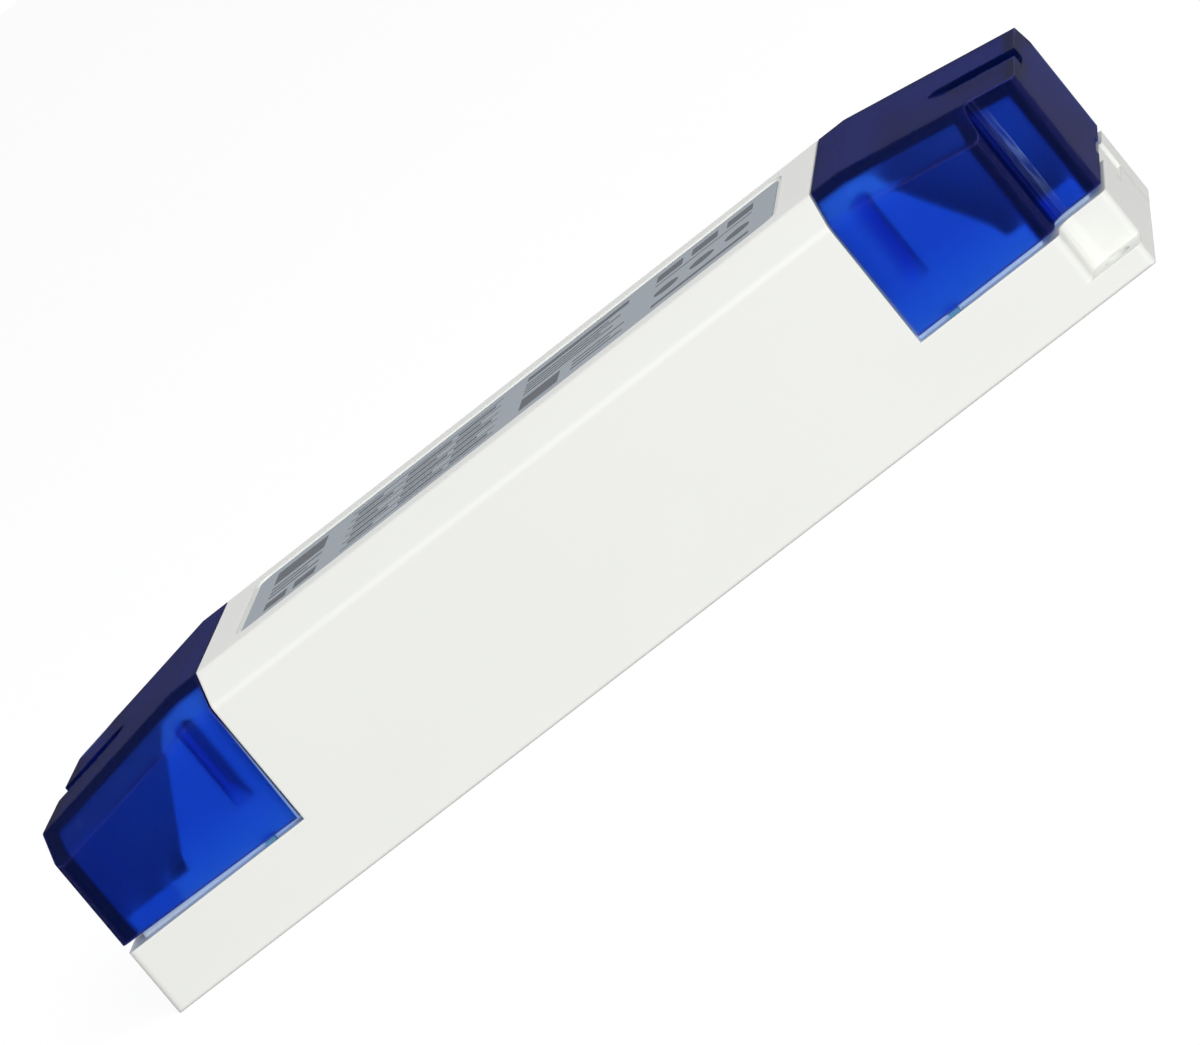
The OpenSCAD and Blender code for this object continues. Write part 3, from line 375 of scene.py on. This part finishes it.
# ---------------------------------------------------------------- housing
# One large white moulding in a polycarbonate and ABS blend: the long body with its
# chamfered top, the two open bays, the inner lips and the two fixing tabs.
# PC/ABS from a finely eroded mould: warm white, satin, softly rounded at every edge.
# The real grain is about 0.1 mm and is drawn at 0.5 mm so that it shows.
ledge_z = 0.0096                                     # top of the rim that a cover stands over
ledge_in, ledge_out = 0.0205, 0.022                  # where that rim starts, from the middle
rim_x, end_x = (corner[0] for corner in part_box("terminal_cover_right"))
blend, tree = new_material("pc_abs_white_satin")
place = add_node(tree, "ShaderNodeTexCoord", {}, {})
grain = add_node(tree, "ShaderNodeTexNoise", {"Scale": per_mm(0.5), "Detail": 2},
                 {"Vector": place.outputs["Object"]})
cloud = add_node(tree, "ShaderNodeTexNoise", {"Scale": per_mm(25), "Detail": 2},
                 {"Vector": place.outputs["Object"]})
tone = add_node(tree, "ShaderNodeMix",
                {"data_type": "RGBA", 6: linear("E9EAE5"), 7: linear("EDEEE9")},
                {0: cloud.outputs[0]})
soft_edge = add_node(tree, "ShaderNodeBevel", {"samples": 6, "Radius": 0.00035}, {})
relief = add_node(tree, "ShaderNodeBump", {"Strength": 0.012, "Distance": 0.00004},
                  {"Height": grain.outputs[0], "Normal": soft_edge.outputs[0]})
satin = add_node(tree, "ShaderNodeMapRange", {"To Min": 0.36, "To Max": 0.46},
                 {0: grain.outputs[0]})
# painted shade: the white is darkened towards DFE0DA in corners and creases, by ambient occlusion
nook = add_node(tree, "ShaderNodeAmbientOcclusion",
                {"samples": 8, "Distance": 0.005, "only_local": True},
                {})
corner_shaded = add_node(tree, "ShaderNodeMix", {"data_type": "RGBA", 6: linear("DFE0DA")},
                 {0: nook.outputs["AO"], 7: tone.outputs[2]})
# The ledge under a cover and the inside of a bay lie in blue shade, which lamps that shine
# through the cover leave out.
spot = add_node(tree, "ShaderNodeSeparateXYZ", {}, {0: place.outputs["Object"]})
level = add_node(tree, "ShaderNodeMath", {"operation": "COMPARE", 1: ledge_z, 2: 0.00004},
                 {0: spot.outputs[2]})
facing = add_node(tree, "ShaderNodeNewGeometry", {}, {})
lean = add_node(tree, "ShaderNodeSeparateXYZ", {}, {0: facing.outputs["Normal"]})
flat = add_node(tree, "ShaderNodeMapRange",
                {"From Min": 0.8, "From Max": 0.95, "To Min": 0, "To Max": 0.75},
                {0: lean.outputs[2]})
beside = add_node(tree, "ShaderNodeMath", {"operation": "ABSOLUTE"}, {0: spot.outputs[1]})
outer = add_node(tree, "ShaderNodeMapRange",
                 {"From Min": ledge_in, "From Max": ledge_out, "To Min": 0.25, "To Max": 1},
                 {0: beside.outputs[0]})
shut = add_node(tree, "ShaderNodeMath", {"operation": "MULTIPLY"},
                {0: flat.outputs[0], 1: outer.outputs[0]})
ledge = add_node(tree, "ShaderNodeMath", {"operation": "MULTIPLY"},
                 {0: level.outputs[0], 1: shut.outputs[0]})
turned_in = add_node(tree, "ShaderNodeMath", {"operation": "MULTIPLY"},
                     {0: spot.outputs[1], 1: lean.outputs[1]})
inner = add_node(tree, "ShaderNodeMath", {"operation": "LESS_THAN", 1: -0.015},
                 {0: turned_in.outputs[0]})
away = add_node(tree, "ShaderNodeMath", {"operation": "ABSOLUTE"}, {0: spot.outputs[0]})
in_bay = add_node(tree, "ShaderNodeMath", {"operation": "GREATER_THAN", 1: rim_x},
                  {0: away.outputs[0]})
bay = add_node(tree, "ShaderNodeMath", {"operation": "MULTIPLY"},
               {0: inner.outputs[0], 1: in_bay.outputs[0]})
shade = add_node(tree, "ShaderNodeMath", {"operation": "MAXIMUM"},
                 {0: ledge.outputs[0], 1: bay.outputs[0]})
shaded = add_node(tree, "ShaderNodeMix", {"data_type": "RGBA", 7: linear("A8B1C8")},
                  {0: shade.outputs[0], 6: corner_shaded.outputs[2]})
skin = add_node(tree, "ShaderNodeBsdfPrincipled",
                {"IOR": 1.56},
                {"Base Color": shaded.outputs[2], "Roughness": satin.outputs[0],
                 "Normal": relief.outputs[0]})
add_node(tree, "ShaderNodeOutputMaterial", {}, {"Surface": skin.outputs[0]})
dress(blend, "housing")

# ---------------------------------------------------------------- cable clamps
# Bars of black polyamide that press the cable on its saddle, each held by two screws.
# glass-filled polyamide: black, dry, with short pale fibre marks
filled, tree = new_material("polyamide_black_filled")
place = add_node(tree, "ShaderNodeTexCoord", {}, {})
fibre = add_node(tree, "ShaderNodeTexNoise", {"Scale": per_mm(0.8), "Detail": 4, "Distortion": 2},
                 {"Vector": place.outputs["Object"]})
black = add_node(tree, "ShaderNodeMix",
                 {"data_type": "RGBA", 6: linear("1B1C1E"), 7: linear("323437")},
                 {0: fibre.outputs[0]})
skin = add_node(tree, "ShaderNodeBsdfPrincipled", {"Roughness": 0.5, "IOR": 1.53},
                {"Base Color": black.outputs[2]})
add_node(tree, "ShaderNodeOutputMaterial", {}, {"Surface": skin.outputs[0]})
dress(filled, "cable_clamp_left", "cable_clamp_right")

# ---------------------------------------------------------------- terminal covers
# Two clip-on caps moulded in clear blue polycarbonate, 2 mm thick, with a finger
# groove in the falling top; two tongues snap each one into the rim of its bay.
# Tinted polycarbonate: deep blue by its thickness, so that walls seen edge on go dark, satin
# from the mould, which blurs the white lip close behind it, and with a trace of scattering
# pigment. The end face is a little hazier than the rest. The mould's grain of about 0.1 mm is
# drawn at 0.5 mm.
tint_code, tint_depth, milk_code, glint_code = "32B4EC", 1480, "1F42C2", "A4C4EE"
groove_half = 0.0035                                 # half of the finger groove, with its edge
gap_top, gap_foot, gap_wide = 0.026, 0.011, 0.00032  # light behind the rim, widest at its foot
notch_in, notch_side = end_x - 0.0067, 0.0215        # hollow of the fixing notch
streak_start, streak_full, streak_fade, streak_end = 0.012, 0.018, 0.021, 0.0265
tongue_z = ledge_z + 0.0005                          # the snap tongues show below this
tinted, tree = new_material("polycarbonate_clear_blue")
place = add_node(tree, "ShaderNodeTexCoord", {}, {})
grain = add_node(tree, "ShaderNodeTexNoise", {"Scale": per_mm(0.5), "Detail": 2},
                 {"Vector": place.outputs["Object"]})
soft_edge = add_node(tree, "ShaderNodeBevel", {"samples": 6, "Radius": 0.0004}, {})
relief = add_node(tree, "ShaderNodeBump", {"Strength": 0.05, "Distance": 0.00004},
                  {"Height": grain.outputs[0], "Normal": soft_edge.outputs[0]})
satin = add_node(tree, "ShaderNodeMapRange", {"To Min": 0.4, "To Max": 0.5}, {0: grain.outputs[0]})
through = add_node(tree, "ShaderNodeBsdfRefraction", {"Color": linear("FFFFFF"), "IOR": 1.58},
                   {"Roughness": satin.outputs[0]})
milk = add_node(tree, "ShaderNodeBsdfDiffuse", {"Color": linear(milk_code)}, {})
cloudy = add_node(tree, "ShaderNodeMixShader", {0: 0.07},
                  {1: through.outputs[0], 2: milk.outputs[0]})
gloss = add_node(tree, "ShaderNodeBsdfGlossy", {"Color": linear("ECE9FF"), "Roughness": 0.16},
                 {"Normal": relief.outputs[0]})
turned = add_node(tree, "ShaderNodeFresnel", {"IOR": 1.58}, {"Normal": relief.outputs[0]})
steady = add_node(tree, "ShaderNodeMath", {"operation": "MINIMUM", 1: 0.37}, {0: turned.outputs[0]})
spot = add_node(tree, "ShaderNodeSeparateXYZ", {}, {0: place.outputs["Object"]})
along = add_node(tree, "ShaderNodeMath", {"operation": "ABSOLUTE"}, {0: spot.outputs[0]})
hazy = add_node(tree, "ShaderNodeMapRange",
                {"From Min": end_x - 0.00035, "From Max": end_x - 0.0001, "To Min": 0.088,
                 "To Max": 0.135},
                {0: along.outputs[0]})
share = add_node(tree, "ShaderNodeMath", {"operation": "MULTIPLY"},
                 {0: steady.outputs[0], 1: hazy.outputs[0]})
body = add_node(tree, "ShaderNodeMixShader", {},
                {0: share.outputs[0], 1: cloudy.outputs[0], 2: gloss.outputs[0]})
# painted highlight: a thin violet line is painted along a sharp edge, where it would catch the
# light, but not in the finger groove
facing = add_node(tree, "ShaderNodeNewGeometry", {}, {})
even = add_node(tree, "ShaderNodeVectorMath", {"operation": "DOT_PRODUCT"},
                {0: soft_edge.outputs[0], 1: facing.outputs["Normal"]})
crest = add_node(tree, "ShaderNodeMapRange",
                 {"From Min": 0.998, "From Max": 0.95, "To Min": 0, "To Max": 0.22},
                 {0: even.outputs["Value"]})
lean = add_node(tree, "ShaderNodeSeparateXYZ", {}, {0: facing.outputs["Normal"]})
upright = add_node(tree, "ShaderNodeMapRange",
                   {"From Min": 0.93, "From Max": 0.5, "To Min": 0, "To Max": 1},
                   {0: lean.outputs[2]})
across = add_node(tree, "ShaderNodeMath", {"operation": "ABSOLUTE"}, {0: spot.outputs[1]})
margin = add_node(tree, "ShaderNodeMapRange",
                  {"From Min": groove_half, "From Max": groove_half + 0.0025, "To Min": 0,
                   "To Max": 1},
                  {0: across.outputs[0]})
fold = add_node(tree, "ShaderNodeMath", {"operation": "MULTIPLY"},
                {0: crest.outputs[0], 1: upright.outputs[0]})
line = add_node(tree, "ShaderNodeMath", {"operation": "MULTIPLY"},
                {0: fold.outputs[0], 1: margin.outputs[0]})
edge_highlight = add_node(tree, "ShaderNodeBsdfDiffuse", {"Color": linear("7674EE")}, {})
lined = add_node(tree, "ShaderNodeMixShader", {},
                 {0: line.outputs[0], 1: body.outputs[0], 2: edge_highlight.outputs[0]})
# painted light: the cut face beside the body is painted pale, as where light gets in behind the
# rim, more so low down, and on the left, where the cap rides up
wide = add_node(tree, "ShaderNodeMapRange",
                {"From Min": gap_top, "From Max": gap_foot, "To Min": 0, "To Max": gap_wide},
                {0: spot.outputs[2]})
deep = add_node(tree, "ShaderNodeMath", {"operation": "SUBTRACT", 1: rim_x}, {0: along.outputs[0]})
inside = add_node(tree, "ShaderNodeMath", {"operation": "SUBTRACT"},
                  {0: wide.outputs[0], 1: deep.outputs[0]})
open_rim = add_node(tree, "ShaderNodeMapRange",
                    {"From Min": 0, "From Max": 0.00008, "To Min": 0, "To Max": 0.5},
                    {0: inside.outputs[0]})
loose = add_node(tree, "ShaderNodeMapRange",
                 {"From Min": -0.01, "From Max": 0.01, "To Min": 1, "To Max": 0.2},
                 {0: spot.outputs[0]})
painted_gap_light = add_node(tree, "ShaderNodeMath", {"operation": "MULTIPLY"},
                {0: open_rim.outputs[0], 1: loose.outputs[0]})
# painted highlight: the hollow of each notch is painted paler where a highlight falls, broken into
# streaks about 3 mm long
within = add_node(tree, "ShaderNodeMath", {"operation": "LESS_THAN", 1: notch_side},
                  {0: across.outputs[0]})
short = add_node(tree, "ShaderNodeMath", {"operation": "LESS_THAN", 1: notch_in + 0.0018},
                 {0: along.outputs[0]})
hollow = add_node(tree, "ShaderNodeMapRange",
                  {"interpolation_type": "SMOOTHSTEP", "From Min": notch_in,
                   "From Max": notch_in + 0.0019, "To Min": 0, "To Max": 1},
                  {0: along.outputs[0]})
above = add_node(tree, "ShaderNodeMapRange",
                 {"From Min": streak_start, "From Max": streak_full, "To Min": 0.15, "To Max": 1},
                 {0: spot.outputs[2]})
below = add_node(tree, "ShaderNodeMapRange",
                 {"From Min": streak_end, "From Max": streak_fade, "To Min": 0, "To Max": 1},
                 {0: spot.outputs[2]})
stretch = add_node(tree, "ShaderNodeMapping", {"Scale": (1, 1, 0.15)},
                   {"Vector": place.outputs["Object"]})
streak_noise = add_node(tree, "ShaderNodeTexNoise", {"Scale": per_mm(0.4), "Detail": 4},
               {"Vector": stretch.outputs[0]})
streak_strength = add_node(tree, "ShaderNodeMapRange",
                {"From Min": 0.35, "From Max": 0.65, "To Min": 0.03, "To Max": 0.24},
                {0: streak_noise.outputs[0]})
notch_highlight = streak_strength
for part in (within, short, hollow, above, below):
    notch_highlight = add_node(tree, "ShaderNodeMath", {"operation": "MULTIPLY"},
                     {0: notch_highlight.outputs[0], 1: part.outputs[0]})
# the painted highlight and the painted light behind the rim both go in as the pale glint colour
rim = add_node(tree, "ShaderNodeMath", {"operation": "MAXIMUM"},
               {0: notch_highlight.outputs[0], 1: painted_gap_light.outputs[0]})
glint = add_node(tree, "ShaderNodeBsdfDiffuse", {"Color": linear(glint_code)}, {})
highlighted = add_node(tree, "ShaderNodeMixShader", {},
                  {0: rim.outputs[0], 1: lined.outputs[0], 2: glint.outputs[0]})
# below the rim, the snap tongues are turned a pale milky blue
bent = add_node(tree, "ShaderNodeMapRange",
                {"From Min": tongue_z + 0.00005, "From Max": tongue_z - 0.00005, "To Min": 0,
                 "To Max": 0.8},
                {0: spot.outputs[2]})
tongue_blue = add_node(tree, "ShaderNodeBsdfDiffuse", {"Color": linear("6FA6C4")}, {})
with_tongues = add_node(tree, "ShaderNodeMixShader", {},
                {0: bent.outputs[0], 1: highlighted.outputs[0], 2: tongue_blue.outputs[0]})
# lamps shine through the plastic, so that the bay behind it is lit
clear = add_node(tree, "ShaderNodeBsdfTransparent", {"Color": linear("FFFFFF")}, {})
path = add_node(tree, "ShaderNodeLightPath", {}, {})
skin = add_node(tree, "ShaderNodeMixShader", {},
                {0: path.outputs["Is Shadow Ray"], 1: with_tongues.outputs[0], 2: clear.outputs[0]})
depth = add_node(tree, "ShaderNodeVolumeAbsorption",
                 {"Color": linear(tint_code), "Density": tint_depth},
                 {})
add_node(tree, "ShaderNodeOutputMaterial", {},
         {"Surface": skin.outputs[0], "Volume": depth.outputs[0]})
dress(tinted, "terminal_cover_left", "terminal_cover_right")

# ---------------------------------------------------------------- label
# A silver-grey polyester film, printed, die cut with round corners and stuck into the
# recess of the top face. The print is plain fields, rules and discs only.
# Matt film: even grey with a slight sparkle, drawn at 0.4 mm so that it shows.
film, tree = new_material("polyester_film_silver")
place = add_node(tree, "ShaderNodeTexCoord", {}, {})
flake = add_node(tree, "ShaderNodeTexNoise", {"Scale": per_mm(0.4), "Detail": 3},
                 {"Vector": place.outputs["Object"]})
silver = add_node(tree, "ShaderNodeMix",
                  {"data_type": "RGBA", 6: linear("98A1AA"), 7: linear("A5AEB6")},
                  {0: flake.outputs[0]})
sheen = add_node(tree, "ShaderNodeMapRange", {"To Min": 0.5, "To Max": 0.6}, {0: flake.outputs[0]})
skin = add_node(tree, "ShaderNodeBsdfPrincipled", {"IOR": 1.5, "Specular IOR Level": 0.2},
                {"Base Color": silver.outputs[2], "Roughness": sheen.outputs[0]})
add_node(tree, "ShaderNodeOutputMaterial", {}, {"Surface": skin.outputs[0]})
dress(film, "rating_label")


def prisms(name, outlines, low, high):
    """One object of flat upright prisms, each over an outline drawn anticlockwise."""
    points, faces = [], []
    for outline in outlines:
        first, count = len(points), len(outline)
        points += [(x, y, low) for x, y in outline] + [(x, y, high) for x, y in outline]
        faces.append([first + count - 1 - k for k in range(count)])
        faces.append([first + count + k for k in range(count)])
        for k in range(count):
            low_a, low_b = first + k, first + (k + 1) % count
            faces.append((low_a, low_b, low_b + count, low_a + count))
    mesh = bpy.data.meshes.new(name)
    mesh.from_pydata(points, [], faces)
    piece = bpy.data.objects.new(name, mesh)
    bpy.context.scene.collection.objects.link(piece)
    return piece


def bar(x, y, long, wide):
    """Outline of one printed bar that starts at x, in millimetres."""
    return [(0.001 * u, 0.001 * v) for u, v in ((x, y - wide / 2), (x + long, y - wide / 2),
                                                (x + long, y + wide / 2), (x, y + wide / 2))]


def disc(x, y, radius):
    """Outline of one printed disc, in millimetres."""
    turns = [math.tau * k / 24 for k in range(24)]
    return [(0.001 * (x + radius * math.cos(a)), 0.001 * (y + radius * math.sin(a))) for a in turns]


label_top, ink_gap, ink_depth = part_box("rating_label")[1][2], 1e-6, 2e-5
# bars as start, middle across, length and width, in millimetres
print_bars = [(-38, 6.4, 8, 6.4), (-38, 0.6, 8, 0.8), (-38, -1.5, 6, 0.8), (-38, -3.6, 8, 0.8),
              (-38, -8.2, 3.4, 3.6), (-33.4, -8.2, 3.4, 3.6),
              (2, 8.6, 16, 2.2), (2, 5.4, 13, 0.7), (2, 3.6, 15, 0.7), (2, 1.8, 12, 0.7),
              (2, 0, 14, 0.7), (2, -6, 6, 6.4), (10, -3.8, 8, 0.7), (10, -6, 6, 0.7),
              (10, -8.2, 8, 0.7),
              (22.5, 7.8, 4, 4), (28, 7.8, 4, 4), (33.5, 7.8, 4, 4), (22.5, 3.6, 15, 0.5),
              (22.5, -8.8, 15, 1.4)]
# a table: rules right across, with short fields between them
row_pitch, column_pitch = 3.84, 8
print_bars += [(-26, row_pitch * (2.5 - row), 24, 0.35) for row in range(6)]
print_bars += [(-25 + column_pitch * column, row_pitch * (2 - row),
                4 + (row * 2 + column * 3) % 4, 1.3) for row in range(5) for column in range(3)]
print_discs = [(24.5, -2.4, 1.9), (30, -2.4, 1.9), (35.5, -2.4, 1.9)]
label_print = prisms("label_print", [bar(*b) for b in print_bars] + [disc(*d) for d in print_discs],
                     label_top + ink_gap, label_top + ink_gap + ink_depth)
# screen ink: dark grey, a little uneven where the mesh left it thin
ink, tree = new_material("screen_ink_grey")
place = add_node(tree, "ShaderNodeTexCoord", {}, {})
thin = add_node(tree, "ShaderNodeTexNoise", {"Scale": per_mm(0.7), "Detail": 3},
                {"Vector": place.outputs["Object"]})
grey = add_node(tree, "ShaderNodeMix",
                {"data_type": "RGBA", 6: linear("4A4F56"), 7: linear("5D636A")},
                {0: thin.outputs[0]})
skin = add_node(tree, "ShaderNodeBsdfPrincipled",
                {"Roughness": 0.6, "IOR": 1.5, "Specular IOR Level": 0.2},
                {"Base Color": grey.outputs[2]})
add_node(tree, "ShaderNodeOutputMaterial", {}, {"Surface": skin.outputs[0]})
label_print.data.materials.append(ink)
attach(label_print, "root")
